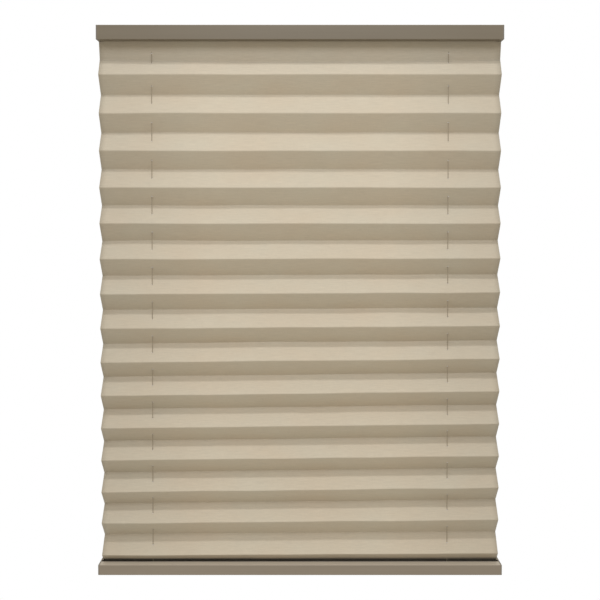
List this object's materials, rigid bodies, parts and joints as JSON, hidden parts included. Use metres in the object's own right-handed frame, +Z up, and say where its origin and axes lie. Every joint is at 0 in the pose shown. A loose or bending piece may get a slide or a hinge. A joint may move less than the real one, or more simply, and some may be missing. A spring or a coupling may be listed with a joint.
{
  "type": "pleated blind",
  "caption": "Cordless pleated window blind: a beige folded cloth hangs from a channel headrail to a weighted bottom rail, which lifts on hidden cords wound by a spring motor.",
  "frame": {"origin": "middle of the headrail's open top, in the plane of its lips", "axes": "+X along the rails, -Y towards the room, +Z up towards the ceiling bracket"},
  "size_m": [0.711, 0.048, 0.965],
  "materials": {
    "rail_paint": "satin taupe paint on extruded aluminium",
    "end_cap_plastic": "moulded taupe plastic, satin",
    "pleat_cloth": "woven beige polyester with a fine horizontal slub, stiffened and pleated",
    "strip_plastic": "flat extruded strip, dark brown",
    "weight_steel": "bare mild steel bar",
    "motor_plastic": "moulded light grey plastic",
    "screw_steel": "bright zinc-plated steel",
    "spring_steel": "tempered spring steel strip",
    "drum_plastic": "natural white acetal",
    "pin_steel": "ground steel",
    "cradle_plastic": "moulded light grey plastic",
    "plug_plastic": "moulded taupe plastic",
    "cord_braid": "fine braided polyester cord, taupe"
  },
  "bodies": {
    "headrail": {"headrail": "rail_paint", "headrail_end_cap_left": "end_cap_plastic", "headrail_end_cap_right": "end_cap_plastic", "motor_case": "motor_plastic", "motor_cover": "motor_plastic", "motor_cover_screws": "screw_steel", "power_spring": "spring_steel", "drive_pin": "pin_steel", "storage_pin": "pin_steel", "spool_pin_left": "pin_steel", "spool_pin_right": "pin_steel", "cord_cradle_left": "cradle_plastic", "cord_cradle_right": "cradle_plastic", "pulley_pin_left": "pin_steel", "pulley_pin_right": "pin_steel", "fabric_top_strip": "strip_plastic", "pleated_fabric": "pleat_cloth", "lift_cord_left": "cord_braid", "lift_cord_right": "cord_braid"},
    "bottom_rail": {"bottom_rail": "rail_paint", "bottom_rail_end_cap_left": "end_cap_plastic", "bottom_rail_end_cap_right": "end_cap_plastic", "bottom_rail_weight": "weight_steel", "fabric_bottom_strip": "strip_plastic", "cord_plug_left": "plug_plastic", "cord_plug_right": "plug_plastic"},
    "cord_spool_left": {"cord_spool_left": "drum_plastic"},
    "cord_spool_right": {"cord_spool_right": "drum_plastic"},
    "drive_drum": {"drive_drum": "drum_plastic"},
    "storage_drum": {"storage_drum": "drum_plastic"},
    "guide_pulley_left": {"guide_pulley_left": "drum_plastic"},
    "guide_pulley_right": {"guide_pulley_right": "drum_plastic"}
  },
  "joints": [
    {"name": "rail_lift", "type": "slide", "parent": "headrail", "child": "bottom_rail", "axis": [0, 0, 1], "range_m": [0, 0.876], "deforming": ["pleated_fabric", "lift_cord_left", "lift_cord_right"]},
    {"name": "spool_left_spin", "type": "hinge", "parent": "headrail", "child": "cord_spool_left", "pos_m": [-0.0104, -0.007, -0.0135], "axis": [0, 0, 1], "range_deg": [-7200, 0]},
    {"name": "spool_right_spin", "type": "hinge", "parent": "headrail", "child": "cord_spool_right", "pos_m": [0.0104, -0.007, -0.0135], "axis": [0, 0, 1], "range_deg": [0, 7200]},
    {"name": "drive_drum_spin", "type": "hinge", "parent": "headrail", "child": "drive_drum", "pos_m": [0.03104, -0.0096, -0.0135], "axis": [0, 0, 1], "range_deg": [-7200, 0]},
    {"name": "storage_drum_spin", "type": "hinge", "parent": "headrail", "child": "storage_drum", "pos_m": [0.05194, -0.0096, -0.0135], "axis": [0, 0, 1], "range_deg": [0, 7800]},
    {"name": "pulley_left_spin", "type": "hinge", "parent": "headrail", "child": "guide_pulley_left", "pos_m": [-0.2578, 0, -0.014], "axis": [0, 1, 0], "range_deg": [0, 12000]},
    {"name": "pulley_right_spin", "type": "hinge", "parent": "headrail", "child": "guide_pulley_right", "pos_m": [0.2578, 0, -0.014], "axis": [0, 1, 0], "range_deg": [-12000, 0]}
  ],
  "couplings": [
    {"joint": "spool_left_spin", "follows": "rail_lift", "rad_per_m": -142.86},
    {"joint": "spool_right_spin", "follows": "rail_lift", "rad_per_m": 142.86},
    {"joint": "drive_drum_spin", "follows": "rail_lift", "rad_per_m": -142.86},
    {"joint": "storage_drum_spin", "follows": "rail_lift", "rad_per_m": 154.93},
    {"joint": "pulley_left_spin", "follows": "rail_lift", "rad_per_m": 238.1},
    {"joint": "pulley_right_spin", "follows": "rail_lift", "rad_per_m": -238.1}
  ]
}
